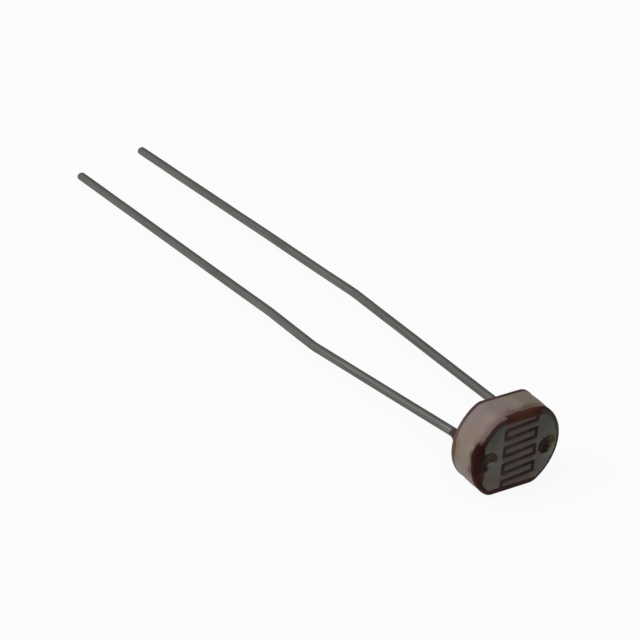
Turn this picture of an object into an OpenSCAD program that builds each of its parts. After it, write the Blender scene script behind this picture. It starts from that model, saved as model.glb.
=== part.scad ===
// Photoresistor of the 5 mm class, lying as it comes to rest.
// A two-flat ceramic disc carries a photoconductive film, two metal comb electrodes and two wire leads.
// The disc lies on its lower flat, its sensitive face toward -Y, and the lead tips touch the surface at +Y.

/* [Disc] */
// Diameter of the round, over film and seal
body_d = 5.10; // [4.8:0.05:6.5]
// Width across the two flats, over film and seal
flats_w = 4.34; // [4.1:0.02:4.7]
// Thickness over film and seal
body_t = 1.97; // [1.4:0.01:2.6]
// Rounding of the edges, over film and seal
edge_r = 0.20; // [0.12:0.01:0.22]

/* [Layers] */
// Thickness of the photoconductive film, and of the seal at the side
film_t = 0.02; // [0.01:0.005:0.05]
// How far the film runs down the side below its rounded edge
film_skirt = 0.10; // [0.05:0.01:0.5]
// Thickness of the metal electrodes
metal_t = 0.02; // [0.01:0.005:0.05]
// Thickness of the resin seal over the back
seal_t = 0.08; // [0.03:0.01:0.2]
// How far the seal runs up the side above its rounded edge
seal_skirt = 0.06; // [0.02:0.01:0.4]

/* [Electrodes] */
// Bare film between the electrodes and the outline of the disc
border = 0.26; // [0.24:0.01:0.3]
// Bare film between the electrodes and the lower flat
lower_border = 0.40; // [0.3:0.01:0.46]
// Lines of bare track between the fingers
track_lines = 7; // [3:2:7]
// Distance from one track line to the next
track_pitch = 0.50; // [0.4:0.01:0.52]
// Width of the bare track
track_w = 0.21; // [0.1:0.01:0.28]
// Length of a track line between its turns
track_span = 1.84; // [1.2:0.02:1.9]
// Turn of the pattern against the flats
pattern_turn = 5; // [0:0.5:6]
// Shift of the pattern to the right of the middle
pattern_right = 0.06; // [0:0.01:0.08]
// Shift of the pattern above the middle
pattern_up = 0.12; // [-0.1:0.01:0.14]

/* [Contacts] */
// Diameter of the countersink at the face
sink_d = 0.90; // [0.75:0.01:0.95]
// Depth of the countersink
sink_depth = 0.25; // [0.2:0.01:0.5]
// How far the lead's end lies below the ceramic's face
lead_sunk = 0.13; // [0.1:0.01:0.18]
// Diameter of the paste dab on the electrode
dab_d = 1.00; // [0.96:0.01:1.06]
// Height of the dab's rim above the electrode
dab_rise = 0.025; // [0.01:0.005:0.03]
// Depth of the dish in the dab below its rim
dab_dish = 0.10; // [0.02:0.01:0.12]

/* [Leads] */
// Diameter of the wire
lead_d = 0.46; // [0.4:0.01:0.55]
// Distance of each hole's axis in from the round
hole_inset = 0.80; // [0.79:0.005:0.9]
// Clearance between wire and hole, all round
hole_gap = 0.05; // [0.02:0.01:0.08]
// Straight stretch of each lead behind the disc
lead_exit = 0.50; // [0.45:0.05:0.8]
// Centre line radius of the bends
bend_r = 2.0; // [0.8:0.1:4]
// How far behind the disc the left lead is formed
left_bend_at = 11.1; // [4:0.1:14]
// How far behind the disc the right lead is formed
right_bend_at = 14.9; // [4:0.1:20]
// Distance of the left lead from the middle where it is formed
left_bend_out = 2.60; // [1.7:0.01:4]
// Distance of the right lead from the middle where it is formed
right_bend_out = 2.63; // [1.7:0.01:4]
// How far behind the disc the left lead straightens again after its bend
left_jog_at = 15.4; // [15:0.1:22]
// Distance of the left lead from the middle where it straightens
left_jog_out = 2.42; // [1.7:0.01:4]
// Distance between the two tips
tip_pitch = 4.74; // [3.5:0.01:8]
// How far the left tip lies behind the disc
left_length = 34.1; // [24:0.1:40]
// How far the right tip lies behind the disc
right_length = 35.4; // [24:0.1:40]
// Length of the bevel at each cut tip
tip_bevel = 0.07; // [0.02:0.01:0.15]
// Width of the collar of resin round each lead, beyond the wire
collar_w = 0.30; // [0.1:0.01:0.32]
// Height of that collar behind the disc
collar_h = 0.34; // [0.2:0.01:0.42]
// How far the resin runs on along each lead, past the knee behind the disc
sleeve_l = 0.30; // [0.2:0.05:0.8]

/* [Rest] */
// Forward lean of the disc as it lies
lean = 2.35; // [0.5:0.05:6]

/* [Hidden] */
$fn = 64;

// Steps in a rounded edge or a collar
round_steps = 6;
// Share of the wire's radius that is left at the end of a tip's bevel
tip_share = 0.7;
// How much fuller the wire is in a bend, and how far its straight stretches reach into one
bend_swell = 0.003;
bend_lap = 0.05;
// Thickness of the resin where it ends on a wire, and where it leaves the collar to run along the wire
collar_lip = 0.02;
sleeve_root_w = 0.10;
// How far behind the disc it leaves the collar
sleeve_root_at = 0.10;
// Share of the dab's radius where its rim is highest
dab_rim_share = 0.86;
// Extra length of a cut beyond what it cuts
over = 0.1;

lead_r = lead_d / 2;
hole_pitch = body_d - 2 * hole_inset;
hole_r = lead_r + hole_gap;
sink_r = sink_d / 2;
dab_r = dab_d / 2;

// The ceramic's face is at z = 0, and z runs out of the face
film_top = film_t;
metal_top = film_top + metal_t;
back_z = film_top - body_t;
ceramic_back = back_z + seal_t;

ceramic_d = body_d - 2 * film_t;
ceramic_w = flats_w - 2 * film_t;
ceramic_edge = edge_r - film_t;
film_end = -ceramic_edge - film_skirt;
seal_end = ceramic_back + ceramic_edge + seal_skirt;
mask_d = body_d - 2 * border;
mask_w = flats_w - 2 * border;

// Height of the surface under the part, along the leaning upright, and the foremost points of rim and metal
floor_at = (edge_r - flats_w / 2) * cos(lean) - (film_top - edge_r) * sin(lean) - edge_r;
edge_front = (flats_w / 2 - edge_r) * sin(lean) + (film_top - edge_r) * cos(lean) + edge_r;
metal_front = mask_w / 2 * sin(lean) + metal_top * cos(lean);
front_at = max(edge_front, metal_front);

left_bends = [[left_bend_at, left_bend_out], [left_jog_at, left_jog_out]];
right_bends = [[right_bend_at, right_bend_out]];
left_path = lead_path(-1, left_bends, left_length);
right_path = lead_path(1, right_bends, right_length);

// Middle of the whole part, from the outermost wire or disc and from the face to the farther tip
left_edge = -max(body_d / 2, left_bend_out + lead_r);
right_edge = max(body_d / 2, right_bend_out + lead_r);
far_edge = max(lying_y(tip_of(left_path)), lying_y(tip_of(right_path)));
middle_x = (left_edge + right_edge) / 2;
middle_y = (far_edge - front_at) / 2;

function lying_y(p) = -p.y * sin(lean) - p.z * cos(lean);

function tip_of(path) = path[len(path) - 1];

// Height in the disc at which the middle of a wire touches the surface, z being along the disc's axis
function wire_on_floor(z) = (floor_at + lead_r + z * sin(lean)) / cos(lean);

// End in the countersink, knee behind the disc, a knee at each place where the lead is formed, and tip.
// Each of the bends is given as how far behind the disc it is and how far from the middle.
function lead_path(side, bends, length) =
    let (knee_z = back_z - lead_exit, tip_z = back_z - length)
    let (tip_y = wire_on_floor(tip_z))
    [
        [side * hole_pitch / 2, 0, -lead_sunk],
        [side * hole_pitch / 2, 0, knee_z],
        for (bend = bends)
            let (z = back_z - bend[0])
            [side * bend[1], tip_y * (knee_z - z) / (knee_z - tip_z), z],
        [side * tip_pitch / 2, tip_y, tip_z]
    ];

function unit(v) = v / norm(v);

function turn_at(path, i) = acos(unit(path[i] - path[i - 1]) * unit(path[i + 1] - path[i]));

// What a bend takes off the straight stretches at the knee i
function trim_at(path, i) = bend_r * tan(turn_at(path, i) / 2);

// Quarter circle of radius r about a centre, from the angle start, or the corner itself where r is 0
function quarter(centre, r, start) =
    r == 0 ? [centre] : [
        for (i = [0 : round_steps])
        let (a = start + 90 * i / round_steps)
        centre + r * [cos(a), sin(a)]
    ];

// Lays a piece of the disc on its lower flat, over the middle of the part
module lying() {
    translate([-middle_x, -middle_y, -floor_at])
        rotate([90 + lean, 0, 0])
            children();
}

module at_holes(sides) {
    for (side = sides)
        translate([side * hole_pitch / 2, 0, 0])
            children();
}

// Section of a disc of half width w from z0 up to z1, with its two outer edges rounded
module edge_section(w, z0, z1, r0, r1) {
    polygon(concat(
        [[0, z1], [0, z0]],
        quarter([w - r0, z0 + r0], r0, -90),
        quarter([w - r1, z1 - r1], r1, 0)
    ));
}

// Round disc of diameter d with two flats w apart, rounded along its rims
module two_flat_disc(d, w, z0, z1, r0, r1) {
    intersection() {
        rotate_extrude()
            edge_section(d / 2, z0, z1, r0, r1);
        for (side = [0, 1])
            mirror([0, side, 0])
                rotate([90, 0, 90])
                    linear_extrude(height = d + over, center = true)
                        edge_section(w / 2, z0, z1, r0, r1);
    }
}

// Places a piece that stands along z so that it runs from one point toward another
module along_run(from, to) {
    run = to - from;
    translate(from)
        rotate([0, acos(run.z / norm(run)), atan2(run.y, run.x)])
            children();
}

// Straight stretch of wire
module wire_run(from, to) {
    along_run(from, to)
        cylinder(h = norm(to - from), r = lead_r);
}

// Straight stretch of wire up to its bevelled tip
module tip_run(from, to) {
    length = norm(to - from);
    along_run(from, to)
        rotate_extrude()
            polygon([
                [0, 0],
                [lead_r, 0],
                [lead_r, length - tip_bevel],
                [lead_r * tip_share, length],
                [0, length]
            ]);
}

// The bend in a wire at the knee i of its path
module wire_bend(path, i) {
    along = unit(path[i] - path[i - 1]);
    leaving = unit(path[i + 1] - path[i]);
    inward = unit(leaving - (along * leaving) * along);
    centre = path[i] - trim_at(path, i) * along + bend_r * inward;
    normal = cross(-inward, along);
    multmatrix([
        [-inward.x, along.x, normal.x, centre.x],
        [-inward.y, along.y, normal.y, centre.y],
        [-inward.z, along.z, normal.z, centre.z]
    ])
        rotate_extrude(angle = turn_at(path, i))
            translate([bend_r, 0])
                circle(r = lead_r + bend_swell);
}

// A wire along its path, each straight stretch lapping into the bends at its ends
module wire(path) {
    last = len(path) - 1;
    for (i = [0 : last - 1]) {
        way = unit(path[i + 1] - path[i]);
        from = path[i] + (i == 0 ? 0 : trim_at(path, i) - bend_lap) * way;
        if (i < last - 1)
            wire_run(from, path[i + 1] - (trim_at(path, i + 1) - bend_lap) * way);
        else
            tip_run(from, path[last]);
    }
    for (i = [1 : last - 1])
        wire_bend(path, i);
}

// Half of the serpentine's metal: a spine at one side and every second finger, turned and shifted into place
module comb(side) {
    turn_out = (track_span + track_w) / 2;
    finger_end = (track_span - track_w) / 2;
    top_line = (track_lines - 1) / 2 * track_pitch;
    first = side < 0 ? 0 : 1;
    translate([pattern_right, pattern_up, film_top])
        rotate([0, 0, pattern_turn]) {
            translate([side < 0 ? -body_d : turn_out, -body_d, 0])
                cube([body_d - turn_out, 2 * body_d, metal_t]);
            for (k = [first : 2 : track_lines]) {
                high = k == 0 ? body_d : top_line - (k - 1) * track_pitch - track_w / 2;
                low = k == track_lines ? -body_d : top_line - k * track_pitch + track_w / 2;
                translate([side < 0 ? -turn_out - over : -finger_end, low, 0])
                    cube([turn_out + finger_end + over, high - low, metal_t]);
            }
        }
}

module electrode(side) {
    difference() {
        intersection() {
            comb(side);
            two_flat_disc(mask_d, mask_w, film_top - over, metal_top + over, 0, 0);
            translate([-body_d / 2, lower_border - flats_w / 2, film_top - over])
                cube([body_d, flats_w, metal_t + 2 * over]);
        }
        at_holes([side])
            cylinder(h = body_t, r = sink_r, center = true);
    }
}

// Paste that fills the countersink round the lead's end and laps onto the electrode
module contact(side) {
    rim_z = metal_top + dab_rise;
    at_holes([side])
        rotate_extrude()
            polygon([
                [0, -lead_sunk],
                [lead_r, -lead_sunk],
                [lead_r, -sink_depth],
                [hole_r, -sink_depth],
                [sink_r, 0],
                [sink_r, metal_top],
                [dab_r, metal_top],
                [dab_r * dab_rim_share, rim_z],
                [0, rim_z - dab_dish]
            ]);
}

// Resin drawn up round a lead behind the disc, in a collar and then thinly along the wire
module collar(path) {
    lip_r = lead_r + collar_lip;
    width = collar_w - collar_lip;
    root_z = back_z + seal_t / 2;
    sleeve_root = [path[0].x, path[0].y, back_z - sleeve_root_at];
    sleeve_end = path[1] + sleeve_l * unit(path[2] - path[1]);
    along_run(sleeve_root, sleeve_end)
        cylinder(h = norm(sleeve_end - sleeve_root), r1 = lead_r + sleeve_root_w, r2 = lip_r);
    translate([path[0].x, path[0].y, 0])
        rotate_extrude()
            polygon(concat(
                [[0, back_z - collar_h], [0, root_z], [lip_r + width, root_z]],
                [
                    for (i = [0 : round_steps])
                    let (a = 90 * i / round_steps)
                    [lip_r + width * (1 - sin(a)), back_z - collar_h * (1 - cos(a))]
                ]
            ));
}

module ceramic_disc() {
    two_flat_disc(ceramic_d, ceramic_w, ceramic_back, 0, ceramic_edge, ceramic_edge);
}

module drilled_disc() {
    difference() {
        ceramic_disc();
        at_holes([-1, 1]) {
            translate([0, 0, ceramic_back - over])
                cylinder(h = over - ceramic_back, r = hole_r);
            translate([0, 0, -sink_depth])
                cylinder(h = sink_depth, r1 = hole_r, r2 = sink_r);
        }
    }
}

module film_cap() {
    difference() {
        two_flat_disc(body_d, flats_w, film_end, film_top, 0, edge_r);
        ceramic_disc();
        at_holes([-1, 1])
            cylinder(h = body_t, r = sink_r, center = true);
    }
}

module seal_cap() {
    difference() {
        union() {
            two_flat_disc(body_d, flats_w, back_z, seal_end, edge_r, 0);
            collar(left_path);
            collar(right_path);
        }
        drilled_disc();
        wire(left_path);
        wire(right_path);
    }
}

// Pressed ceramic disc with two countersunk through holes
module ceramic_base() {
    color([0.55, 0.50, 0.46])
        lying() drilled_disc();
}

// Sintered cadmium sulphide film over the face and round its front edge
module cds_layer() {
    color([0.22, 0.09, 0.08])
        lying() film_cap();
}

// Evaporated metal film, the comb on the left
module left_electrode() {
    color([0.36, 0.35, 0.32])
        lying() electrode(-1);
}

// Evaporated metal film, the comb on the right
module right_electrode() {
    color([0.36, 0.35, 0.32])
        lying() electrode(1);
}

// Conductive paste round the end of the left lead
module left_contact() {
    color([0.26, 0.23, 0.18])
        lying() contact(-1);
}

// Conductive paste round the end of the right lead
module right_contact() {
    color([0.26, 0.23, 0.18])
        lying() contact(1);
}

// Tinned wire on the left, formed out to its pitch
module left_lead() {
    color([0.48, 0.48, 0.47])
        lying() wire(left_path);
}

// Tinned wire on the right, formed farther out
module right_lead() {
    color([0.48, 0.48, 0.47])
        lying() wire(right_path);
}

// Brown resin over the back, round its edge, in the holes and drawn up round the leads
module back_seal() {
    color([0.30, 0.20, 0.17])
        lying() seal_cap();
}

ceramic_base();
cds_layer();
left_electrode();
right_electrode();
left_contact();
right_contact();
left_lead();
right_lead();
back_seal();
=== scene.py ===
from math import atan2, cos, pi, radians, sin, sqrt, tan

import bpy
import numpy as np
from mathutils import Matrix, Vector, noise
from mathutils.geometry import delaunay_2d_cdt


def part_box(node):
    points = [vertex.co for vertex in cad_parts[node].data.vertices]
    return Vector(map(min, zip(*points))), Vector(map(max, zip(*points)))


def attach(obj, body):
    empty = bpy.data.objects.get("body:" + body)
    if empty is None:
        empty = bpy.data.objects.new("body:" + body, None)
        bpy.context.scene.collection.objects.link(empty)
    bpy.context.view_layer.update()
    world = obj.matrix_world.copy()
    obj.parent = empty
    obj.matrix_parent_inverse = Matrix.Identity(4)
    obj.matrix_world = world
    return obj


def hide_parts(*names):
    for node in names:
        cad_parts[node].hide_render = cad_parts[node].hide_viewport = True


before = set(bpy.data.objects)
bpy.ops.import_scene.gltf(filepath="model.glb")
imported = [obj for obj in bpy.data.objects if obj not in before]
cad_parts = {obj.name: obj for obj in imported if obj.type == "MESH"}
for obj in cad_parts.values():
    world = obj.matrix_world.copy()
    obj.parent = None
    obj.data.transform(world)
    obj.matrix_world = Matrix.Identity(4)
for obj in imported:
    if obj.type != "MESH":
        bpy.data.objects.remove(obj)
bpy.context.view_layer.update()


# Ceramic base
# A pressed and fired alumina disc with two flats, which carries every other piece. Tumbling rounds its
# edges. Two holes run through it, each countersunk at the sensitive face for the paste round a lead.

# Lengths are in mm. A place is across the disc, up it and out of its face, which is at 0
MM = 0.001
LEAN = radians(2.35)
ROUND_R = 2.55
FLAT_H = 2.17
CORNER_R = 0.70
EDGE_R = 0.20
SKIN = 0.02
CERAMIC_EDGE = EDGE_R - SKIN
CERAMIC_BACK = -1.87
HOLE_OUT = 1.75
HOLE_R = 0.28
SINK_R = 0.45
SINK_DEPTH = 0.25
MID_BORE = -1.0
SIDES = (-1, 1)

# The side swells a little between its edges, by shares of the radius, and isn't quite even
CROWN = 0.012
CROWN_REACH = 0.62
UNEVEN = 0.0012
UNEVEN_SIZE = 0.9

ARC_POINTS = 60
CORNER_POINTS = 12
FLAT_POINTS = 36
RING_POINTS = 72
EDGE_POINTS = 10
SIDE_ROWS = 22
SHARP_EDGE = radians(38)


def tip_back(points):
    """Leans points of the disc back to across, back and height."""
    across, up, out = np.asarray(points, float).T
    back = -up * sin(LEAN) - out * cos(LEAN)
    height = up * cos(LEAN) - out * sin(LEAN)
    return np.stack((across, back, height), 1)


MIDDLE = tip_back([(0, 0, CERAMIC_BACK / 2)])[0] - np.mean(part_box("ceramic_base"), axis=0) / MM


def lay(points):
    """Takes points of the disc to where it lies in the frame, still in mm."""
    return tip_back(points) - MIDDLE


def rim(inset):
    """The disc's outline, that much inside its outermost skin, counter-clockwise from the right."""
    corner_h = FLAT_H - CORNER_R
    corner_w = sqrt((ROUND_R - CORNER_R) ** 2 - corner_h ** 2)
    turn = atan2(corner_h, corner_w)
    arc = np.linspace(0, turn, ARC_POINTS)[:-1]
    corner = np.linspace(turn, pi / 2, CORNER_POINTS)[:-1]
    flat = np.linspace(corner_w, 0, FLAT_POINTS)
    quarter = np.concatenate((
        (ROUND_R - inset) * np.stack((np.cos(arc), np.sin(arc)), 1),
        (CORNER_R - inset) * np.stack((np.cos(corner), np.sin(corner)), 1) + (corner_w, corner_h),
        np.stack((flat, np.full_like(flat, FLAT_H - inset)), 1),
    ))
    back = quarter[::-1]
    return np.concatenate((quarter[:-1], (back * (-1, 1))[:-1], -quarter[:-1], (back * (1, -1))[:-1]))


def ring(side, radius):
    """A circle round the axis of one hole, or round the disc's own where the side is 0."""
    turn = np.linspace(0, 2 * pi, RING_POINTS, endpoint=False)
    return radius * np.stack((np.cos(turn), np.sin(turn)), 1) + (side * HOLE_OUT, 0)


def raise_to(loop, height):
    """A loop of plane points at one height, or at a height for each point."""
    return np.column_stack((loop, np.broadcast_to(height, len(loop))))


def within(points, loop):
    """Which points lie inside a closed loop: a level ray from them crosses it an odd number of times."""
    x, y = points.T
    odd = np.zeros(len(points), bool)
    for (x0, y0), (x1, y1) in zip(loop, np.roll(loop, -1, 0)):
        if y0 != y1:
            odd ^= ((y0 > y) != (y1 > y)) & (x < x0 + (y - y0) * (x1 - x0) / (y1 - y0))
    return odd


def fill(loops, spots=()):
    """Fills an outer loop, less the loops inside it: the points, the triangles and each loop's indices."""
    points, edges, starts = [], [], []
    for loop in loops:
        starts.append(len(points))
        count = len(loop)
        edges += [(starts[-1] + i, starts[-1] + (i + 1) % count) for i in range(count)]
        points += [Vector(p) for p in loop]
    points += [Vector(p) for p in spots]
    made, _, faces, origins, _, _ = delaunay_2d_cdt(points, edges, [], 0, 1e-7)
    flat = np.array([tuple(p) for p in made])
    triangles = np.array([tuple(f) for f in faces])
    middles = flat[triangles].mean(axis=1)
    kept = np.logical_xor.reduce([within(middles, loop) for loop in loops])
    place = {old: new for new, olds in enumerate(origins) for old in olds}
    indices = [[place[start + i] for i in range(len(loop))] for start, loop in zip(starts, loops)]
    return flat, [tuple(int(i) for i in f) for f in triangles[kept]], indices


class Mesh:
    """Points and faces of one piece, gathered part by part."""

    def __init__(self):
        self.points, self.faces, self.count = [], [], 0

    def add(self, points, faces=()):
        """Takes in points and the faces between them, and gives the points' indices."""
        start = self.count
        self.points.append(np.asarray(points, float))
        self.count += len(points)
        self.faces += [tuple(start + i for i in face) for face in faces]
        return list(range(start, self.count))

    def join(self, first, second):
        """Quads from one loop of indices to the next."""
        for i in range(len(first)):
            k = (i + 1) % len(first)
            self.faces.append((first[i], first[k], second[k], second[i]))

    def wall(self, first, rings, last):
        """Quads from a loop of indices through rings of new points to another loop."""
        for points in rings:
            made = self.add(points)
            self.join(first, made)
            first = made
        self.join(first, last)

    def cover(self, plan, height, flip=False):
        """A filled face at a height, or at heights, and the indices of its loops."""
        flat, triangles, loops = plan
        faces = [face[::-1] for face in triangles] if flip else triangles
        made = self.add(raise_to(flat, height), faces)
        return [[made[i] for i in loop] for loop in loops]


def put(name, mesh, node, material, laid=False, place=None):
    """Makes a piece from a gathered mesh. Each point keeps its place, in mm, for the finish to go by."""
    points = np.concatenate(mesh.points)
    data = bpy.data.meshes.new(name)
    data.from_pydata(((points if laid else lay(points)) * MM).tolist(), [], mesh.faces)
    kept = data.attributes.new("place", "FLOAT_VECTOR", "POINT")
    kept.data.foreach_set("vector", (points if place is None else place).astype(np.float32).ravel())
    data.validate()
    data.shade_smooth()
    data.set_sharp_from_angle(angle=SHARP_EDGE)
    data.materials.append(material)
    piece = bpy.data.objects.new(name, data)
    bpy.context.scene.collection.objects.link(piece)
    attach(piece, "root")
    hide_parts(node)


def rough(points, size, seed=0.0):
    """Smooth noise between about -1 and 1 at each point, for features of that size."""
    return np.array([noise.noise(Vector(p) / size + Vector((seed, 0, 0))) for p in points])


def rounded(skin, radius, face_at, way):
    """Rings round an edge from the side to the face: way is 1 at the front and -1 at the back."""
    loops = []
    for turn in np.linspace(pi / 2, 0, EDGE_POINTS)[:-1]:
        inset = skin + radius * (1 - sin(turn))
        loops.append(raise_to(rim(inset), face_at - way * radius * (1 - cos(turn))))
    return loops


front_plan = fill([rim(EDGE_R)] + [ring(side, SINK_R) for side in SIDES])
back_plan = fill([rim(EDGE_R)] + [ring(side, HOLE_R) for side in SIDES])
ceramic = Mesh()
front = ceramic.cover(front_plan, 0.0)
back = ceramic.cover(back_plan, CERAMIC_BACK, flip=True)
side_rows = np.linspace(-CERAMIC_EDGE, CERAMIC_BACK + CERAMIC_EDGE, SIDE_ROWS)[1:-1]
outside = rounded(SKIN, CERAMIC_EDGE, 0.0, 1)[::-1]
outside += [raise_to(rim(SKIN), row) for row in side_rows]
outside += rounded(SKIN, CERAMIC_EDGE, CERAMIC_BACK, -1)
for points in outside:
    swell = CROWN * np.clip(1 - ((points[:, 2] - CERAMIC_BACK / 2) / CROWN_REACH) ** 2, 0, 1)
    points[:, :2] *= 1 + (swell - UNEVEN * (1 + rough(points, UNEVEN_SIZE)))[:, None]
ceramic.wall(front[0][::-1], [loop[::-1] for loop in outside], back[0][::-1])
for i, side in enumerate(SIDES):
    bore = [raise_to(ring(side, HOLE_R), depth) for depth in (-SINK_DEPTH, MID_BORE)]
    ceramic.wall(front[i + 1], bore, back[i + 1])


class Signal:
    """A socket of a finish. Arithmetic on signals adds Math nodes."""

    def __init__(self, nodes, socket):
        self.nodes, self.socket = nodes, socket

    def math(self, operation, first, second):
        return self.nodes.node("Math", {"operation": operation}, {0: first, 1: second})

    def __add__(self, other):
        return self.math("ADD", self, other)

    def __sub__(self, other):
        return self.math("SUBTRACT", self, other)

    def __rsub__(self, other):
        return self.math("SUBTRACT", other, self)

    def __mul__(self, other):
        return self.math("MULTIPLY", self, other)

    __radd__ = __add__
    __rmul__ = __mul__


class Nodes:
    """A tree whose nodes all come from node()."""

    def __init__(self, tree):
        self.tree = tree

    def node(self, kind, settings, sockets, out=0):
        """Adds a node, sets it up, fills or links its sockets and gives one of its outputs."""
        made = self.tree.nodes.new("ShaderNode" + kind)
        for key, value in settings.items():
            setattr(made, key, value)
        for key, value in sockets.items():
            if isinstance(value, Signal):
                self.tree.links.new(value.socket, made.inputs[key])
            else:
                made.inputs[key].default_value = value
        return Signal(self, made.outputs[out])


class Finish(Nodes):
    """A material with one shader, painted by each point's place in mm."""

    def __init__(self, name, **constants):
        self.material = bpy.data.materials.new(name)
        self.material.use_nodes = True
        super().__init__(self.material.node_tree)
        self.shader = self.tree.nodes["Principled BSDF"]
        for key, value in constants.items():
            self.shader.inputs[key.replace("_", " ").title().replace("Ior", "IOR")].default_value = value
        self.place = self.node("Attribute", {"attribute_name": "place"}, {}, "Vector")

    def axis(self, name):
        """One of the across (X), up (Y) and out (Z) parts of a place."""
        return self.node("SeparateXYZ", {}, {0: self.place}, name)

    def cloud(self, size, detail=3.0, stretch=(1, 1, 1), shift=0.0, warp=0.0):
        """Noise about 0.5 with features of that size in mm."""
        spread = {"operation": "MULTIPLY_ADD"}
        moved = self.node("VectorMath", spread, {0: self.place, 1: stretch, 2: (shift, shift, shift)})
        sockets = {"Vector": moved, "Scale": 1 / size, "Detail": detail, "Distortion": warp}
        return self.node("TexNoise", {"noise_dimensions": "3D"}, sockets)

    def ramp(self, value, low, high):
        """0 below low and 1 above high, smooth between, or the other way round where high is the less."""
        sockets = {"Value": value, "From Min": low, "From Max": high}
        return self.node("MapRange", {"interpolation_type": "SMOOTHSTEP"}, sockets)

    def band(self, value, low, high, fade):
        """1 from low to high, and fading to 0 over that width outside them."""
        return self.ramp(value, low - fade, low) * self.ramp(value, high + fade, high)

    def mix(self, amount, first, second):
        """A colour between two others."""
        return self.node("Mix", {"data_type": "RGBA"}, {0: amount, 6: first, 7: second}, 2)

    def shade(self, colour, amount):
        """A colour made darker or lighter by a signal about 1."""
        grey = self.node("CombineXYZ", {}, {0: amount, 1: amount, 2: amount})
        return self.node("VectorMath", {"operation": "MULTIPLY"}, {0: colour, 1: grey})

    def dress(self, colour, roughness, height, depth, **more):
        """Links the colour, the roughness, a bump of that depth in mm and any other signals to the shader."""
        sockets = {"Height": height, "Strength": 1.0, "Distance": depth * MM}
        normal = self.node("Bump", {}, sockets)
        links = {"Base Color": colour, "Roughness": roughness, "Normal": normal}
        links.update({key.replace("_", " "): value for key, value in more.items()})
        for key, value in links.items():
            self.tree.links.new(value.socket, self.shader.inputs[key])
        return self.material


def paint(red, green, blue):
    """A colour of 0 to 255 as a shader takes it."""
    parts = [c / 255 for c in (red, green, blue)]
    return tuple(c / 12.92 if c <= 0.04045 else ((c + 0.055) / 1.055) ** 2.4 for c in parts) + (1.0,)


BUFF = paint(139, 124, 114)
LILAC = paint(130, 115, 114)
STRAW = paint(132, 116, 98)
DUSKY = paint(115, 105, 93)
MAUVE = paint(128, 113, 116)
RUSTY = paint(112, 82, 60)
SPECKS = paint(96, 80, 72)
TOP_SPRAY = paint(86, 54, 43)
LEFT_SPRAY = paint(56, 27, 23)
FILM_HAZE = paint(112, 88, 84)


def fired_ceramic():
    """Clouded buff ceramic, with resin drawn to its left and film sprayed past its front edge."""
    finish = Finish("fired_ceramic", specular_ior_level=0.25)
    across, up, out = (finish.axis(name) for name in "XYZ")
    lilac = finish.ramp(finish.cloud(1.4, 2.0), 0.38, 0.62)
    straw = finish.ramp(finish.cloud(1.1, 2.0, shift=7.3), 0.44, 0.66)
    grain = finish.cloud(0.05, 4.0)
    wander = finish.cloud(0.5, 3.0, shift=1.7) * 0.9 - 0.45
    colour = finish.mix(lilac * 0.9, BUFF, LILAC)
    colour = finish.mix(straw * 0.7, colour, STRAW)
    on_flat = finish.ramp(up, 1.85, 2.1)
    colour = finish.mix(on_flat * finish.ramp(across + wander, 0.0, 0.8) * 0.7, colour, DUSKY)
    colour = finish.mix(on_flat * finish.band(across + wander, -0.9, -0.2, 0.5) * 0.5, colour, MAUVE)
    resin = finish.ramp(across, -1.7, -2.4) * finish.band(up + wander * 0.5, -0.4, 0.3, 0.45)
    resin = resin * finish.ramp(out, -1.1, -1.72)
    colour = finish.mix(resin * 0.7, colour, RUSTY)
    speck = finish.ramp(finish.cloud(0.09, 2.0, shift=3.1), 0.66, 0.74)
    colour = finish.mix(speck * 0.35, colour, SPECKS)
    on_top = finish.ramp(up, 1.75, 2.05) * finish.band(across + wander, -0.5, 0.9, 0.5)
    on_top = on_top * finish.ramp(out + wander * 0.7, -0.80, -0.34)
    colour = finish.mix(on_top * 0.95, colour, TOP_SPRAY)
    at_left = finish.ramp(across, -1.9, -2.2) * finish.band(up + wander, -0.5, 0.8, 0.45)
    at_left = at_left * finish.ramp(out + wander * 0.6, -0.56, -0.34)
    colour = finish.mix(at_left * 0.95, colour, LEFT_SPRAY)
    near_film = finish.ramp(out + wander * 0.5, -0.62, -0.26)
    colour = finish.mix(near_film * 0.5, colour, FILM_HAZE)
    colour = finish.shade(colour, grain * 0.36 + 0.82)
    roughness = finish.cloud(0.3, 3.0) * 0.25 + 0.42
    return finish.dress(colour, roughness, grain, 0.028)


put("ceramic_disc", ceramic, "ceramic_base", fired_ceramic())


# Photoconductive film
# Cadmium sulphide, sprayed on the face and sintered to it. It wraps the front edge and ends on the side
# in an uneven skirt, deeper where the spray ran. Clear lacquer seals the face, so the film has a coat.

FILM_TOP = 0.02
FILM_SKIRT = 0.10
LEFT_RUN = 0.12
TOP_RUN = 0.09

# How the skirt thins toward its lip: shares of its depth, and how far inside the outermost skin each is
LIP = 0.004
SKIRT_FORM = ((0.3, 0.0), (0.6, 0.002), (0.85, 0.006), (1.0, SKIN - LIP), (1.0, SKIN))


def hump(value, middle, width):
    """1 at a middle and falling off to both sides of it."""
    return np.exp(-((value - middle) / width) ** 2)


def film_depth(points):
    """How far the film runs down the side at each point of the rim."""
    across, up = points[:, 0], points[:, 1]
    depth = FILM_SKIRT * (1 + 0.45 * rough(points, 0.55, 4.0) + 0.25 * rough(points, 0.16, 9.0))
    depth += LEFT_RUN * hump(up, 0.35, 0.55) * (across < 0)
    return depth + TOP_RUN * hump(across, 0.15, 0.65) * (up > 0)


def skirt(form, side_at, depth):
    """Rings along the side from a rounded edge to an uneven lip. A depth below 0 runs back from the face."""
    return [raise_to(rim(inset), side_at + share * depth) for share, inset in form]


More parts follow.
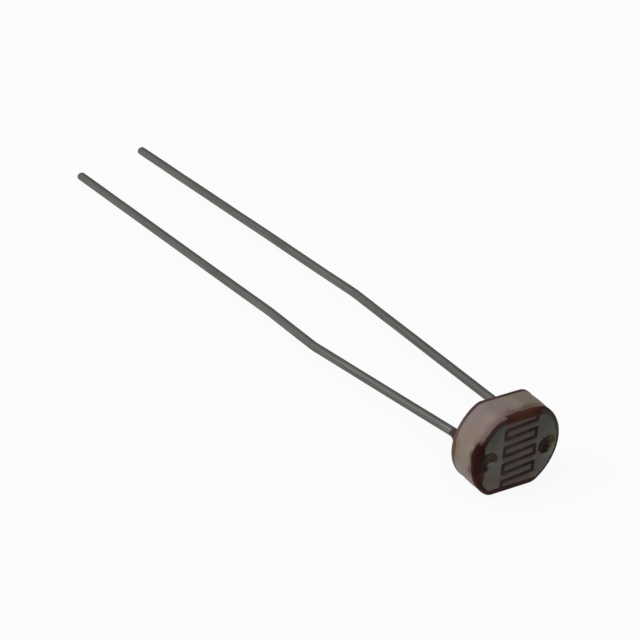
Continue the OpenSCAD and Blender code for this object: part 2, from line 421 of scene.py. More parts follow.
film = Mesh()
face = film.cover(front_plan, FILM_TOP)
under = film.cover(front_plan, 0.0, flip=True)
outline = raise_to(rim(0), 0)
wrap = rounded(0, EDGE_R, FILM_TOP, 1)[::-1]
wrap += skirt(SKIRT_FORM, FILM_TOP - EDGE_R, -film_depth(outline))
wrap += rounded(SKIN, CERAMIC_EDGE, 0.0, 1)
film.wall(face[0][::-1], [loop[::-1] for loop in wrap], under[0][::-1])
for i in (1, 2):
    film.wall(face[i], [], under[i])


TRACK_PALE = paint(57, 46, 45)
TRACK_BROWN = paint(50, 38, 37)
TRACK_DARK = paint(38, 24, 24)
BORDER_RED = paint(60, 24, 22)
BORDER_DEEP = paint(47, 20, 20)
BORDER_DULL = paint(40, 31, 30)
LEFT_BLOTCH = paint(44, 15, 12)
TOP_BLOTCH = paint(70, 40, 30)
RED_SPOT = paint(60, 25, 27)
WORN_FILM = paint(70, 53, 50)
CERAMIC_THROUGH = paint(120, 103, 99)
METAL_DUST = paint(68, 70, 63)
TRACK_R = (2.24, 2.34)
DUST_R = (2.50, 2.40)


def sintered_film():
    """Dark grainy track in a dark red border, which is blotched, dusty, and worn thin at the upper left."""
    finish = Finish("sintered_film", specular_ior_level=0.03, coat_roughness=0.3, coat_ior=1.4)
    across, up, out = (finish.axis(name) for name in "XYZ")
    grain = finish.cloud(0.04, 4.0)
    wander = finish.cloud(0.35, 3.0, shift=1.7) * 0.6 - 0.3
    blotch = finish.ramp(finish.cloud(0.6, 3.0, shift=2.2), 0.40, 0.62)
    colour = finish.mix(blotch, TRACK_PALE, TRACK_BROWN)
    colour = finish.mix(finish.ramp(across + wander, 0.0, 0.6) * 0.8, colour, TRACK_DARK)
    edge = finish.ramp(across * across + up * up, TRACK_R[0] ** 2, TRACK_R[1] ** 2)
    edge = edge + finish.ramp(up, -1.70, -1.82) + finish.ramp(up, 1.82, 1.95)
    red = finish.mix(blotch, BORDER_RED, BORDER_DEEP)
    red = finish.mix(finish.ramp(across + wander, 1.6, 2.1) * 0.8, red, BORDER_DULL)
    colour = finish.mix(finish.ramp(edge, 0.0, 1.0), colour, red)
    leftward = finish.ramp(across, -1.7, -2.1) * finish.band(up + wander, -0.4, 0.9, 0.5)
    colour = finish.mix(leftward * 0.9, colour, LEFT_BLOTCH)
    topward = finish.ramp(up, 1.78, 2.02) * finish.band(across + wander, -0.5, 0.8, 0.55)
    colour = finish.mix(topward, colour, TOP_BLOTCH)
    spot = finish.ramp(up, 1.8, 2.0) * finish.band(across + wander, 0.80, 0.95, 0.25)
    colour = finish.mix(spot * 0.8, colour, RED_SPOT)
    worn = finish.ramp(up + wander, 0.95, 1.35) * finish.ramp(across + wander, -0.85, -1.15)
    colour = finish.mix(worn * 0.65, colour, WORN_FILM)
    through = worn * finish.ramp(out + wander * 0.12, -0.04, -0.11)
    colour = finish.mix(through * 0.9, colour, CERAMIC_THROUGH)
    span = across * across + up * up + wander * 0.2
    dusted = finish.ramp(across + wander * 0.5, 0.9, 1.3) * finish.ramp(up + wander * 0.5, -0.3, 0.3)
    dusted = dusted * finish.ramp(span, DUST_R[0] ** 2, DUST_R[1] ** 2) * finish.ramp(out, -0.10, -0.02)
    colour = finish.mix(dusted * 0.8, colour, METAL_DUST)
    colour = finish.shade(colour, grain * 0.80 + 0.60)
    roughness = finish.cloud(0.2, 3.0) * 0.2 + 0.42
    coat = finish.ramp(finish.cloud(0.8, 2.0, shift=5.0), 0.35, 0.65) * 0.05 + 0.02
    return finish.dress(colour, roughness, grain, 0.024, Coat_Weight=coat)


put("sensitive_film", film, "cds_layer", sintered_film())


# Comb electrodes
# Two films of metal, evaporated on the sensitive film through one mask. Their fingers lie between each
# other, and the bare serpentine that is left between them is the track that feels the light.

NAMES = ("left", "right")
METAL_T = 0.010
METAL_TOP = FILM_TOP + METAL_T
BORDER = 0.26
LOWER_BORDER = 0.40
TRACK_LINES = 7
TRACK_PITCH = 0.50
TRACK_W = 0.21
TRACK_SPAN = 1.84
PATTERN_TURN = radians(5)
PATTERN_AT = (0.06, 0.12)
BEYOND = 4.0

# The mask lets a little metal creep under it, which softens corners and frays and thins the edge
CORNER_SOFT = 0.07
CORNER_PART = 1 / 2.2
CORNER_STEPS = 5
EDGE_SPACING = 0.035
FRAY = 0.012
FRAY_SIZE = 0.14
THIN_EDGE = 0.006
THIN_SHARE = 0.6


def comb_outline():
    """The left comb about the middle of the pattern, running on past the disc at its outer sides."""
    spine = -(TRACK_SPAN + TRACK_W) / 2
    end = (TRACK_SPAN - TRACK_W) / 2
    lines = [TRACK_PITCH * ((TRACK_LINES - 1) / 2 - i) for i in range(TRACK_LINES)]
    points = [(end, BEYOND)]
    for i, line in enumerate(lines):
        if i % 2 == 0:
            points += [(end, line + TRACK_W / 2), (spine, line + TRACK_W / 2)]
        else:
            points += [(spine, line - TRACK_W / 2), (end, line - TRACK_W / 2)]
    return np.array(points + [(spine, -BEYOND), (-BEYOND, -BEYOND), (-BEYOND, BEYOND)])


def clip(points, outline):
    """What lies of a polygon inside a convex, counter-clockwise outline."""
    for start, stop in zip(outline, np.roll(outline, -1, 0)):
        inward = np.array((start[1] - stop[1], stop[0] - start[0]))
        depth = (points - start) @ inward
        kept = []
        for i in range(len(points)):
            if depth[i - 1] * depth[i] < 0:
                share = depth[i - 1] / (depth[i - 1] - depth[i])
                kept.append(points[i - 1] + share * (points[i] - points[i - 1]))
            if depth[i] >= 0:
                kept.append(points[i])
        points = np.array(kept)
    return points


def soften(points, radius):
    """A polygon with its corners rounded, each within its own part of the sides beside it."""
    out = []
    for i, corner in enumerate(points):
        before, after = points[i - 1] - corner, points[(i + 1) % len(points)] - corner
        back, ahead = np.linalg.norm(before), np.linalg.norm(after)
        reach = min(radius, back * CORNER_PART, ahead * CORNER_PART)
        first = corner + before / back * reach
        last = corner + after / ahead * reach
        for share in np.linspace(0, 1, CORNER_STEPS):
            out.append((1 - share) ** 2 * first + 2 * share * (1 - share) * corner + share ** 2 * last)
    return np.array(out)


def spaced(points, step):
    """The same closed line with its points evenly spaced."""
    closed = np.concatenate((points, points[:1]))
    run = np.concatenate(([0], np.cumsum(np.linalg.norm(np.diff(closed, axis=0), axis=1))))
    at = np.linspace(0, run[-1], int(run[-1] / step), endpoint=False)
    return np.stack([np.interp(at, run, closed[:, k]) for k in (0, 1)], 1)


def outward(loop):
    """The direction out of a counter-clockwise loop at each point."""
    along = np.roll(loop, -1, 0) - np.roll(loop, 1, 0)
    away = np.stack((along[:, 1], -along[:, 0]), 1)
    return away / np.maximum(np.linalg.norm(away, axis=1), 1e-9)[:, None]


def electrode_loop(side):
    """The frayed outline of one electrode, counter-clockwise: its comb, as far as the mask lets it reach."""
    cosine, sine = cos(PATTERN_TURN), sin(PATTERN_TURN)
    comb = (comb_outline() * -side) @ np.array(((cosine, sine), (-sine, cosine))) + PATTERN_AT
    low = LOWER_BORDER - FLAT_H
    above = np.array(((-ROUND_R, low), (ROUND_R, low), (ROUND_R, FLAT_H), (-ROUND_R, FLAT_H)))
    loop = spaced(soften(clip(clip(comb, rim(BORDER)), above), CORNER_SOFT), EDGE_SPACING)
    area = np.sum(loop[:, 0] * np.roll(loop[:, 1], -1) - loop[:, 1] * np.roll(loop[:, 0], -1))
    loop = loop if area > 0 else loop[::-1]
    return loop + outward(loop) * (FRAY * rough(raise_to(loop, side), FRAY_SIZE))[:, None]


def electrode(side):
    """A thin plate in an electrode's outline, thinner at its edge and open at the countersink."""
    loop, hole = electrode_loop(side), ring(side, SINK_R)
    mesh = Mesh()
    top = mesh.cover(fill([loop - THIN_EDGE * outward(loop), hole]), METAL_TOP)
    bottom = mesh.cover(fill([loop, hole]), FILM_TOP, flip=True)
    edge = raise_to(loop, FILM_TOP + THIN_SHARE * METAL_T)
    mesh.wall(top[0][::-1], [edge[::-1]], bottom[0][::-1])
    mesh.wall(top[1], [], bottom[1])
    return mesh


METAL_WARM = paint(85, 82, 74)
METAL_DULL = paint(83, 75, 69)
METAL_GREEN = paint(68, 71, 63)
FINGER_GREY = paint(72, 63, 61)
PINK_CAST = paint(86, 72, 67)
GREY_STAIN = paint(68, 57, 52)
BROWN_SMEAR = paint(84, 60, 52)
PAINTED_GLINT_METAL = paint(101, 102, 89)
FILM_SHOWING = paint(50, 22, 21)
DARK_BLOT = paint(34, 18, 14)


def evaporated_metal():
    """Dull grey metal under lacquer, stained, dark where the film shows and paste spread at the left, with a
    painted highlight beside the right dab.
    """
    finish = Finish("evaporated_metal", specular_ior_level=0.04, coat_roughness=0.25, coat_ior=1.4)
    across, up = finish.axis("X"), finish.axis("Y")
    cloudy = finish.ramp(finish.cloud(0.9, 3.0, shift=4.4), 0.36, 0.64)
    fine = finish.cloud(0.06, 3.0, shift=8.0)
    wander = finish.cloud(0.3, 2.0, shift=2.6) * 0.5 - 0.25
    colour = finish.mix(cloudy, METAL_WARM, METAL_DULL)
    colour = finish.mix(finish.ramp(up, 0.3, 1.5) * 0.8, colour, METAL_GREEN)
    fingers = finish.band(across + wander, -0.7, 0.8, 0.35)
    colour = finish.mix(fingers * 0.8, colour, FINGER_GREY)
    pink = finish.ramp(across + wander, -0.7, -1.0) * finish.ramp(up + wander, -0.7, -1.2)
    colour = finish.mix(pink * 0.7, colour, PINK_CAST)
    stain = finish.ramp(finish.cloud(0.28, 3.0, shift=6.0), 0.58, 0.72)
    colour = finish.mix(stain * 0.4, colour, GREY_STAIN)
    smear = finish.ramp(up + wander * 0.5, 1.40, 1.75) * finish.band(across + wander, -0.5, 0.7, 0.5)
    colour = finish.mix(smear * 0.85, colour, BROWN_SMEAR)
    # Painted highlight: a pale glint of reflected light on the metal below and to the right of the right dab.
    electrode_glint = finish.ramp(across + wander * 0.6, 1.6, 2.0) * finish.band(up + wander * 0.5, -0.5, -0.3, 0.4)
    colour = finish.mix(electrode_glint, colour, PAINTED_GLINT_METAL)
    blot = finish.ramp(across + up * 0.3 + wander * 0.3, -1.84, -1.98)
    blot = blot * finish.band(up + wander * 0.6, -0.45, 0.75, 0.2)
    bare = finish.ramp(across + wander * 0.3, -1.84, -1.98) * finish.ramp(up + wander * 0.5, 0.2, -0.2)
    bare = bare * (1 - blot)
    clear = 1 - blot - bare
    colour = finish.mix(bare * 0.9, colour, FILM_SHOWING)
    colour = finish.mix(blot * 0.95, colour, DARK_BLOT)
    colour = finish.shade(colour, fine * 0.50 + 0.81)
    roughness = finish.cloud(0.25, 3.0, shift=1.0) * 0.25 + 0.40
    metallic = (cloudy * 0.1 + 0.45) * clear
    coat = finish.ramp(finish.cloud(0.8, 2.0, shift=5.0), 0.35, 0.65) * 0.06 + 0.06
    return finish.dress(colour, roughness, fine, 0.014, Metallic=metallic, Coat_Weight=coat * clear)


metal = evaporated_metal()
for side, name in zip(SIDES, NAMES):
    put(name + "_comb", electrode(side), name + "_electrode", metal)


# Contact dabs
# Conductive paste, pressed into each countersink round the lead's end and lapped onto the electrode. It
# shrinks as it dries, so each dab is dished in the middle and has a low, uneven rim.

LEAD_R = 0.23
LEAD_SUNK = 0.13
DAB_R = 0.50
DAB_RISE = 0.025
DAB_DISH = 0.10
DISH_POWER = 2.2
RIM_SHARE = 0.86
DAB_RINGS = np.linspace(0.06, 0.98, 16)
DAB_FOOT = 0.001
DAB_GROWTH = 1.02
DAB_WAVER = 0.10
DAB_LUMPS = 0.014


def cap(mesh, loop, middle, way=1):
    """Closes a loop of indices with triangles to a new point in its middle."""
    peak = mesh.add([middle])[0]
    count = len(loop)
    mesh.faces += [(loop[i], loop[(i + 1) % count], peak)[::way] for i in range(count)]


def dab(side):
    """Rings from the middle of the dish over the rim, then down the countersink to the lead's end."""
    mesh = Mesh()
    unit = ring(0, 1.0)
    sway = DAB_GROWTH + DAB_WAVER * rough(raise_to(unit, 3.0 * side), 0.8)

    def circle(radius, height, swayed=1.0):
        return raise_to(unit * np.reshape(radius * swayed, (-1, 1)) + (side * HOLE_OUT, 0), height)

    rings = []
    for share in DAB_RINGS:
        inward = min(share / RIM_SHARE, 1.0)
        outer = max(share - RIM_SHARE, 0) / (1 - RIM_SHARE)
        rise = DAB_RISE * sqrt(1 - outer ** 2) - DAB_DISH * (1 - inward ** DISH_POWER)
        flat = circle(DAB_R * share, METAL_TOP + rise, sway)
        flat[:, 2] += DAB_LUMPS * inward * (1 - outer) * rough(flat, 0.16, 5.0)
        rings.append(flat)
    rings.append(circle(DAB_R, METAL_TOP + DAB_FOOT, sway))
    rings += [circle(SINK_R, METAL_TOP), circle(SINK_R, 0.0), circle(HOLE_R, -SINK_DEPTH)]
    rings += [circle(LEAD_R, -SINK_DEPTH), circle(LEAD_R, -LEAD_SUNK)]
    loops = [mesh.add(points) for points in rings]
    for first, second in zip(loops, loops[1:]):
        mesh.join(second, first)
    cap(mesh, loops[0], (side * HOLE_OUT, 0, METAL_TOP + DAB_RISE - DAB_DISH))
    cap(mesh, loops[-1], (side * HOLE_OUT, 0, -LEAD_SUNK), way=-1)
    return mesh


PASTE_OLIVE = paint(56, 49, 35)
PASTE_BROWN = paint(47, 41, 31)
PASTE_GOLD = paint(76, 67, 44)
PASTE_HIGHLIGHT = paint(104, 104, 90)
DAB_GLINT = paint(110, 110, 102)
PASTE_SHADE_AND_STAIN = paint(36, 23, 17)


def dried_paste():
    """Olive brown paste, painted dark at the left of each dab as partly shade and partly stain, with a
    painted highlight at its lower right and a painted glint in the left dab.
    """
    finish = Finish("dried_paste", specular_ior_level=0.04, coat_roughness=0.2, coat_ior=1.4)
    across, up = finish.axis("X"), finish.axis("Y")
    at_right = finish.ramp(across, -0.5, 0.5)
    beside = across - (at_right * 2 - 1) * HOLE_OUT
    lumps = finish.cloud(0.12, 3.0, shift=2.0)
    wander = finish.cloud(0.22, 2.0, shift=4.0) * 0.5 - 0.25
    mottle = finish.ramp(finish.cloud(0.3, 2.0, shift=9.0), 0.40, 0.62)
    colour = finish.mix(mottle, PASTE_OLIVE, PASTE_BROWN)
    # Painted highlight: the lower right of each dab's dish, where it faces the light, is painted pale.
    pale = finish.ramp(beside - up * 1.3 + wander, 0.34, 0.60) * (at_right * 0.3 + 0.6)
    gold = finish.ramp(beside + up + wander, 0.10, 0.35) * at_right
    colour = finish.mix(gold * 0.7, colour, PASTE_GOLD)
    colour = finish.mix(pale, colour, PASTE_HIGHLIGHT)
    # Painted highlight: a small pale glint in the left dab, below and to the right of its middle.
    aside, below = beside - 0.20, up + 0.24
    dab_glint = finish.ramp(aside * aside * 0.5 + below * below * 2 + wander * 0.16, 0.045, 0.0)
    colour = finish.mix(dab_glint * (1 - at_right) * 0.9, colour, DAB_GLINT)
    # Partly painted shade on the dish's left wall, partly dark stain: the left part of each dab is painted
    # near black-brown.
    dark = finish.ramp(beside + up * 0.1 - at_right * 0.2 + wander * 0.6, 0.0, -0.2)
    colour = finish.mix(dark * 0.95, colour, PASTE_SHADE_AND_STAIN)
    colour = finish.shade(colour, finish.cloud(0.03, 3.0) * 0.3 + 0.85)
    roughness = lumps * 0.3 + 0.34
    metallic = (pale * 0.4 + 0.1) * (1 - dark)
    coat = (finish.ramp(lumps, 0.3, 0.7) * 0.05 + 0.02) * (1 - dark)
    return finish.dress(colour, roughness, lumps, 0.014, Metallic=metallic, Coat_Weight=coat)


paste = dried_paste()
for side, name in zip(SIDES, NAMES):
    put(name + "_dab", dab(side), name + "_contact", paste)


# Leads
# Round copper-clad steel wire with a coat of dull tin. Each runs from its countersink through the disc,
# is formed out to its pitch by hand, and is cut off at the tip, where the shears leave it a little flat.

SEAL_T = 0.08
BACK = CERAMIC_BACK - SEAL_T
LEAD_EXIT = 0.50
BEND_R = 2.0
TIP_PITCH = 4.74

# Where each lead is bent, as how far behind the disc and how far from its middle, and how far it reaches
LEFT_BENDS = ((11.1, 2.60), (15.4, 2.42))
RIGHT_BENDS = ((14.9, 2.63),)
LEFT_LENGTH = 34.1
RIGHT_LENGTH = 35.4

# Straightening leaves a slight sway in the free stretch between the disc and the tip
HELD_RUN = 3.0
SWAY_FADE = 2.0
SWAY_SIZE = 4.5
SWAY_ASIDE = 0.014
SWAY_UP = 0.008
LUMPS = 0.008
LUMP_SIZE = 0.8

# The shears press the tip flat and wide over the nip, and leave a bevel and a slight peak at its end. The
# rings there stand at these runs to the tip, with the stretch before them left clear
NIP = 0.16
NIP_WIDER = 0.05
NIP_FLATTER = 0.12
BEVEL = 0.065
BEVEL_SHARE = 0.34
PEAK = 0.012
TIP_RINGS = np.array((NIP, 0.10, BEVEL, 0.040, 0.022, 0.009, 0.0))
TIP_CLEAR = 0.2

WIRE_SIDES = 40
BEND_POINTS = 9
RUN_STEP = 0.3


def lead_knees(side, bends, length):
    """Where a lead turns, in the disc's mm: its sunk end, a knee behind the disc, its bends and its tip."""
    knee_at, tip_at = BACK - LEAD_EXIT, BACK - length
    tip_up = (LEAD_R + MIDDLE[2] + tip_at * sin(LEAN)) / cos(LEAN)
    knees = [(side * HOLE_OUT, 0, -LEAD_SUNK), (side * HOLE_OUT, 0, knee_at)]
    for behind, beside in (*bends, (length, TIP_PITCH / 2)):
        out = BACK - behind
        knees.append((side * beside, tip_up * (knee_at - out) / (knee_at - tip_at), out))
    return np.array(knees)


def centre_line(knees):
    """Points along a lead: straight stretches, and an arc at each knee."""
    points = [knees[0]]
    for before, knee, after in zip(knees, knees[1:], knees[2:]):
        arrive = (knee - before) / np.linalg.norm(knee - before)
        leave = (after - knee) / np.linalg.norm(after - knee)
        turn = np.arccos(np.clip(arrive @ leave, -1, 1))
        inward = (leave - (arrive @ leave) * arrive) / sin(turn)
        centre = knee - BEND_R * tan(turn / 2) * arrive + BEND_R * inward
        for angle in np.linspace(0, turn, BEND_POINTS):
            points.append(centre + BEND_R * (sin(angle) * arrive - cos(angle) * inward))
    points.append(knees[-1])
    line = [points[0]]
    for start, stop in zip(points, points[1:]):
        count = max(1, int(np.linalg.norm(stop - start) / RUN_STEP))
        line += [start + (stop - start) * k / count for k in range(1, count + 1)]
    return np.array(line)


def lead_line(knees, seed):
    """A lead's middle where it lies, with its sway, the run to the tip from each point, and the tip's way."""
    line = lay(centre_line(knees))
    run = np.concatenate(([0], np.cumsum(np.linalg.norm(np.diff(line, axis=0), axis=1))))
    to_tip = run[-1] - run
    free = np.clip((run - HELD_RUN) / SWAY_FADE, 0, 1) * np.clip(to_tip / HELD_RUN, 0, 1)
    swing = np.stack((run / SWAY_SIZE, np.full_like(run, seed), np.zeros_like(run)), 1)
    line[:, 0] += SWAY_ASIDE * free * rough(swing, 1.0)
    line[:, 2] += SWAY_UP * free * rough(swing, 1.0, 20.0)
    way = (line[-1] - line[-2]) / np.linalg.norm(line[-1] - line[-2])
    kept = to_tip > TIP_CLEAR
    tip = line[-1] - TIP_RINGS[:, None] * way
    return np.concatenate((line[kept], tip)), np.concatenate((to_tip[kept], TIP_RINGS)), way


def across_wire(line):
    """At each point of a wire's middle, the level direction across it and the one above that."""
    along = np.gradient(line, axis=0)
    along /= np.linalg.norm(along, axis=1)[:, None]
    aside = np.cross(along, (0, 0, 1))
    aside /= np.linalg.norm(aside, axis=1)[:, None]
    return aside, np.cross(aside, along)


def lead(knees, seed):
    """The wire's mesh where it lies, and for each point its place round the wire and its run to the tip."""
    line, to_tip, way = lead_line(knees, seed)
    aside, above = across_wire(line)
    turn = np.linspace(0, 2 * pi, WIRE_SIDES, endpoint=False)
    round_wire = np.stack((np.cos(turn), np.sin(turn)), 1)
    mesh, place, last = Mesh(), [], None
    for i, point in enumerate(line):
        nip = 1 - np.clip(to_tip[i] / NIP, 0, 1)
        radius = LEAD_R * (1 - BEVEL_SHARE * np.clip(1 - to_tip[i] / BEVEL, 0, 1) ** 2)
        run = to_tip[0] - to_tip[i]
        radius = radius * (1 + LUMPS * rough(raise_to(round_wire, run), LUMP_SIZE, seed))
        wide = round_wire[:, 0] * radius * (1 + NIP_WIDER * nip)
        tall = round_wire[:, 1] * radius * (1 - NIP_FLATTER * nip)
        circle = point + np.outer(wide, aside[i]) + np.outer(tall, above[i])
        circle[:, 2] = np.maximum(circle[:, 2], 0.0)
        made = mesh.add(circle)
        place.append(raise_to(LEAD_R * round_wire, to_tip[i]))
        if last:
            mesh.join(made, last)
        else:
            mesh.faces.append(tuple(made))
        last = made
    cap(mesh, last[::-1], line[-1] + PEAK * way)
    place.append(np.zeros((1, 3)))
    return mesh, np.concatenate(place)


TIN_LIGHT = paint(124, 123, 120)
TIN_DULL = paint(116, 115, 112)
TIN_SHADED_SIDE = paint(88, 88, 86)
DARK_STREAK = paint(78, 78, 75)
LIGHT_STREAK = paint(124, 124, 122)
CUT_METAL = paint(70, 68, 66)
TIN_GLINT = (0.35, 0.35, 0.35, 1.0)


def dull_tin():
    """Dull tin with streaks drawn along the wire, painted darker as shade along the side turned from the key
    light, and darker at the cut.
    """
    finish = Finish("dull_tin", specular_ior_level=0.4, specular_tint=TIN_GLINT)
    streak = finish.cloud(0.09, 3.0, stretch=(1, 1, 0.03))
    patch = finish.ramp(finish.cloud(0.5, 3.0, stretch=(1, 1, 0.25), shift=3.0), 0.36, 0.64)
    grain = finish.cloud(0.035, 3.0, shift=1.0)
    colour = finish.mix(patch, TIN_LIGHT, TIN_DULL)
    # Painted shade: the side of the wire facing away from the key light is painted darker.
    shaded_side = finish.ramp(finish.axis("X") + streak * 0.1 - 0.05, -0.04, 0.17)
    colour = finish.mix(shaded_side * 0.6, colour, TIN_SHADED_SIDE)
    colour = finish.mix(finish.ramp(streak, 0.56, 0.72) * 0.6, colour, DARK_STREAK)
    colour = finish.mix(finish.ramp(streak, 0.44, 0.30) * 0.5, colour, LIGHT_STREAK)
    cut = finish.ramp(finish.axis("Z"), 0.05, 0.0)
    colour = finish.mix(cut * 0.8, colour, CUT_METAL)
    colour = finish.shade(colour, grain * 0.2 + 0.9)
    roughness = patch * 0.10 + streak * 0.15 + 0.38
    metallic = 0.9 - finish.ramp(streak, 0.5, 0.75) * 0.25
    return finish.dress(colour, roughness, streak + grain * 0.5, 0.004, Metallic=metallic)


tin = dull_tin()
left_knees = lead_knees(-1, LEFT_BENDS, LEFT_LENGTH)
right_knees = lead_knees(1, RIGHT_BENDS, RIGHT_LENGTH)
for knees, name, seed in ((left_knees, "left", 1.3), (right_knees, "right", 6.1)):
    wire, place = lead(knees, seed)
    put(name + "_wire", wire, name + "_lead", tin, laid=True, place=place)


# Back seal
# Brown moisture-proof resin, flowed over the back of the disc after the leads are in. It runs a little
# round the edge, fills the holes, and is drawn up round each lead in a collar and thinly along the wire.

SEAL_SKIRT = 0.06
SEAL_RUN = 0.10
SEAL_FORM = ((0.4, 0.0), (0.75, 0.004), (1.0, SKIN - LIP), (1.0, SKIN))
COLLAR_W = 0.30
COLLAR_H = 0.34
COLLAR_RINGS = 9
WAVE = 0.018
RIPPLE = 0.006
WAVE_FADE = 0.4

# The resin's thin sleeve along each wire, and how much fuller it sags on one side of the left and the right
SLEEVE_W = 0.10
SLEEVE_END = 0.78
SLEEVE_WAVER = 0.10
SLEEVE_LIP = 0.008
SLEEVE_POWER = 1.4
SLEEVE_RINGS = np.linspace(0.08, 1, 13)
UNDER_RINGS = (1.02, 0.6, 0.3, 0.0)
UNDER_R = LEAD_R - 0.003
SAG = (2.2, 0.4)
SAG_WAY = (-0.80, -0.60)
SAG_FROM = 0.3

# A grid of points over the back, and how far it stays from the round, the flats and the collars
GRID_STEP = 0.13
GRID_REACH = (2.3, 1.9)
ROUND_CLEAR = 0.08
FLAT_CLEAR = 0.06
COLLAR_CLEAR = 0.05


def from_hole(points):
    """How far each point of the back is from the axis of the nearer hole."""
    return np.min([np.linalg.norm(points - (side * HOLE_OUT, 0), axis=1) for side in SIDES], axis=0)


def seal_height(points):
    """How far the resin stands behind the disc's own back at each point: collars and a slow unevenness."""
    share = np.clip((from_hole(points) - LEAD_R) / COLLAR_W, 0, 1)
    collar = COLLAR_H * (1 - np.sqrt(np.clip(1 - (1 - share) ** 2, 0, 1)))
    inner = np.clip((FLAT_H - EDGE_R - np.abs(points[:, 1])) / WAVE_FADE, 0, 1)
    inner = inner * np.clip((ROUND_R - EDGE_R - np.linalg.norm(points, axis=1)) / WAVE_FADE, 0, 1)
    flat = raise_to(points, 0)
    wave = WAVE * rough(flat, 0.8, 3.0) + RIPPLE * rough(flat, 0.25, 7.0)
    return collar + wave * inner * (share >= 1)


def back_spots():
    """Points inside the back's outline that let its mesh follow the collars and the unevenness."""
    radii = np.linspace(LEAD_R + SLEEVE_W, LEAD_R + COLLAR_W, COLLAR_RINGS)[1:]
    spots = [point for side in SIDES for radius in radii for point in ring(side, radius)]
    wide, high = (np.arange(-reach, reach + GRID_STEP / 10, GRID_STEP) for reach in GRID_REACH)
    grid = np.stack(np.meshgrid(wide, high, indexing="ij"), -1).reshape(-1, 2)
    kept = np.linalg.norm(grid, axis=1) < ROUND_R - EDGE_R - ROUND_CLEAR
    kept &= np.abs(grid[:, 1]) < FLAT_H - EDGE_R - FLAT_CLEAR
    kept &= from_hole(grid) > LEAD_R + COLLAR_W + COLLAR_CLEAR
    return spots + list(grid[kept])


def sleeve(line, radius, behind):
    """A ring of resin round a lead's middle line, at a distance behind the disc for each of its points."""
    unit = ring(0, 1.0)
    out = BACK - np.broadcast_to(behind, len(unit))
    at = np.stack([np.interp(out, line[::-1, 2], line[::-1, k]) for k in (0, 1)], 1)
    return raise_to(at + unit * np.reshape(radius, (-1, 1)), out)


def collar_rings(side, knees, sag):
    """Rings from a collar along the wire to the end of the sleeve, back under it and down into the hole."""
    line, unit = centre_line(knees), ring(0, 1.0)
    root = seal_height(ring(side, LEAD_R + SLEEVE_W))
    end = SLEEVE_END * (1 + SLEEVE_WAVER * rough(raise_to(unit, 5.0 * side), 0.7))
    fuller = sag * np.clip(unit @ SAG_WAY, 0, 1)
    rings = []
    for share in SLEEVE_RINGS:
        grown = 1 + fuller * np.clip(share / SAG_FROM, 0, 1)
        radius = LEAD_R + SLEEVE_LIP + (SLEEVE_W - SLEEVE_LIP) * grown * (1 - share) ** SLEEVE_POWER
        rings.append(sleeve(line, radius, root + share * (end - root)))
    rings += [sleeve(line, UNDER_R, share * end) for share in UNDER_RINGS]
    return rings + [raise_to(ring(side, radius), -SINK_DEPTH) for radius in (UNDER_R, HOLE_R)]


seal_plan = fill([rim(EDGE_R)] + [ring(side, LEAD_R + SLEEVE_W) for side in SIDES], back_spots())
seal = Mesh()
behind = seal.cover(seal_plan, BACK - seal_height(seal_plan[0]), flip=True)
inside = seal.cover(back_plan, CERAMIC_BACK)
lip_rise = SEAL_SKIRT * (1 + 0.5 * rough(outline, 0.6, 12.0) + 0.3 * rough(outline, 0.2, 15.0))
lip_rise += SEAL_RUN * hump(outline[:, 1], -0.1, 0.5) * (outline[:, 0] < 0)
wrap = rounded(0, EDGE_R, BACK, -1)[::-1]
wrap += skirt(SEAL_FORM, BACK + EDGE_R, lip_rise)
wrap += rounded(SKIN, CERAMIC_EDGE, CERAMIC_BACK, -1)
seal.wall(behind[0], wrap, inside[0])
for i, (side, knees) in enumerate(zip(SIDES, (left_knees, right_knees))):
    tube = collar_rings(side, knees, SAG[i])
    seal.wall(behind[i + 1][::-1], [loop[::-1] for loop in tube], inside[i + 1][::-1])


RESIN_LIGHT = paint(80, 54, 50)
RESIN_DARK = paint(66, 44, 46)
RESIN_THIN = paint(110, 93, 88)
RESIN_RUN = paint(98, 70, 51)


def brown_resin():
    """Brown resin, slightly flowed, that lets the ceramic through where it is thin at the edge."""
    finish = Finish("brown_resin", specular_ior_level=0.12, coat_roughness=0.3)
    across, up, out = (finish.axis(name) for name in "XYZ")
    flow = finish.ramp(finish.cloud(0.8, 3.0, warp=0.6), 0.36, 0.64)
    fine = finish.cloud(0.08, 3.0, shift=2.0)
    wander = finish.cloud(0.4, 3.0, shift=1.7) * 0.5 - 0.25
    colour = finish.mix(flow, RESIN_LIGHT, RESIN_DARK)
    thin = finish.ramp(out + wander * 0.15, -1.85, -1.75) * finish.ramp(up + wander, 1.9, 1.2)
    colour = finish.mix(thin * 0.6, colour, RESIN_THIN)
    run = finish.ramp(out, -1.94, -1.84) * finish.ramp(across, -2.1, -2.35)
    run = run * finish.band(up + wander * 0.5, -0.4, 0.3, 0.25)
    colour = finish.mix(run * 0.9, colour, RESIN_RUN)
    colour = finish.shade(colour, fine * 0.2 + 0.9)
    roughness = finish.cloud(0.4, 3.0, shift=5.0) * 0.2 + 0.44
    coat = flow * 0.06 + 0.03
    return finish.dress(colour, roughness, flow * 0.4 + fine * 0.3, 0.006, Coat_Weight=coat)


put("resin_back", seal, "back_seal", brown_resin())


# Studio
# A plain pale table under one large soft light from the upper left and even light from all round. The
# camera stands to the left of the face and looks down along the leads.

# Lengths from here on are in metres, apart from the camera's lens and sensor
TABLE_HALF = 1.5
TABLE_DROP = 0.00001
TABLE_GREY = (0.80, 0.80, 0.80, 1.0)
WHITE = (1.0, 1.0, 1.0, 1.0)
SHADOW_SHARE = 0.08
AROUND = 0.45
KEY_AT = Vector((-0.29, 0.06, 0.32))
KEY_SIZE = 0.26
KEY_POWER = 1.0


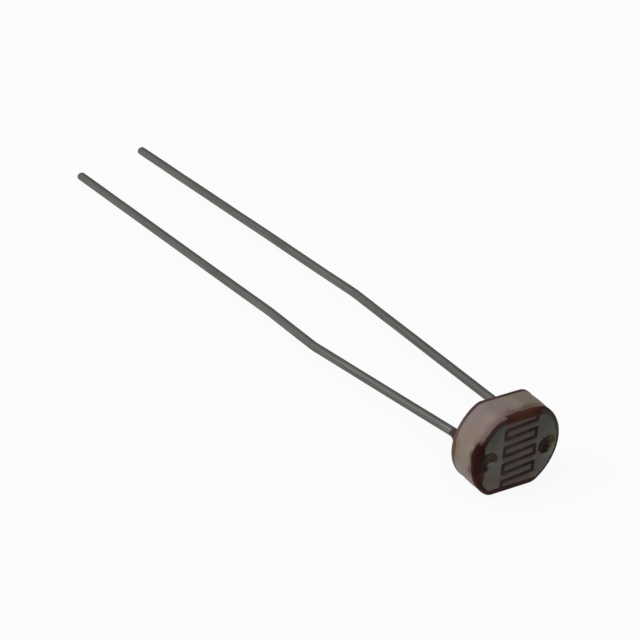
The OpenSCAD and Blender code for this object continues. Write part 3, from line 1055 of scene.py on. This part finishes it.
def white_rays(nodes):
    """1 for a ray from the camera, off something glossy or through something clear, and otherwise 0."""
    names = ("Is Camera Ray", "Is Glossy Ray", "Is Transmission Ray")
    first, second, third = (nodes.node("LightPath", {}, {}, name) for name in names)
    return nodes.node("Math", {"operation": "ADD", "use_clamp": True}, {0: first + second, 1: third})


pale = Finish("pale_table", base_color=TABLE_GREY, roughness=0.9, specular_ior_level=0.1)
glow = pale.node("Emission", {}, {"Color": WHITE, "Strength": 1.0})
share = white_rays(pale) * (1 - SHADOW_SHARE)
seen = pale.node("MixShader", {}, {0: share, 1: Signal(pale, pale.shader.outputs[0]), 2: glow})
pale.tree.links.new(seen.socket, pale.tree.nodes["Material Output"].inputs["Surface"])

corners = [(x * TABLE_HALF, y * TABLE_HALF, -TABLE_DROP) for x, y in ((-1, -1), (1, -1), (1, 1), (-1, 1))]
table_mesh = bpy.data.meshes.new("table")
table_mesh.from_pydata(corners, [], [(0, 1, 2, 3)])
table_mesh.materials.append(pale.material)
table = bpy.data.objects.new("table", table_mesh)
bpy.context.scene.collection.objects.link(table)

world = bpy.data.worlds.new("studio")
bpy.context.scene.world = world
world.use_nodes = True
sky = Nodes(world.node_tree)
around = sky.node("Background", {}, {"Color": WHITE, "Strength": AROUND})
sky.tree.links.new(around.socket, sky.tree.nodes["World Output"].inputs["Surface"])

light = bpy.data.lights.new("key", "AREA")
light.shape = "DISK"
light.size = KEY_SIZE
light.energy = KEY_POWER
key = bpy.data.objects.new("key", light)
key.location = KEY_AT
key.rotation_euler = (-KEY_AT).to_track_quat("-Z", "Y").to_euler()
bpy.context.scene.collection.objects.link(key)

# Where the camera looks, from which side and how far, and its lens and sensor in mm
TARGET = Vector((0.0008353, -0.0013926, 0.0000647))
AZIMUTH = radians(-37.93)
ELEVATION = radians(29.775)
ROLL = radians(6.221)
DISTANCE = 0.14742
LENS = 159.913
SENSOR_WIDTH = 36.0
NEAREST = 0.01
FARTHEST = 10.0

toward = Vector((sin(AZIMUTH) * cos(ELEVATION), -cos(AZIMUTH) * cos(ELEVATION), sin(ELEVATION)))
level_right = Vector((0, 0, 1)).cross(toward).normalized()
level_up = toward.cross(level_right)
right = level_right * cos(ROLL) + level_up * sin(ROLL)
turned = Matrix((right, toward.cross(right), toward)).transposed().to_4x4()
eye = bpy.data.cameras.new("eye")
eye.lens = LENS
eye.sensor_width = SENSOR_WIDTH
eye.clip_start = NEAREST
eye.clip_end = FARTHEST
camera = bpy.data.objects.new("eye", eye)
camera.matrix_world = Matrix.Translation(TARGET + toward * DISTANCE) @ turned
bpy.context.scene.collection.objects.link(camera)
bpy.context.scene.camera = camera
bpy.context.scene.view_settings.view_transform = "Standard"
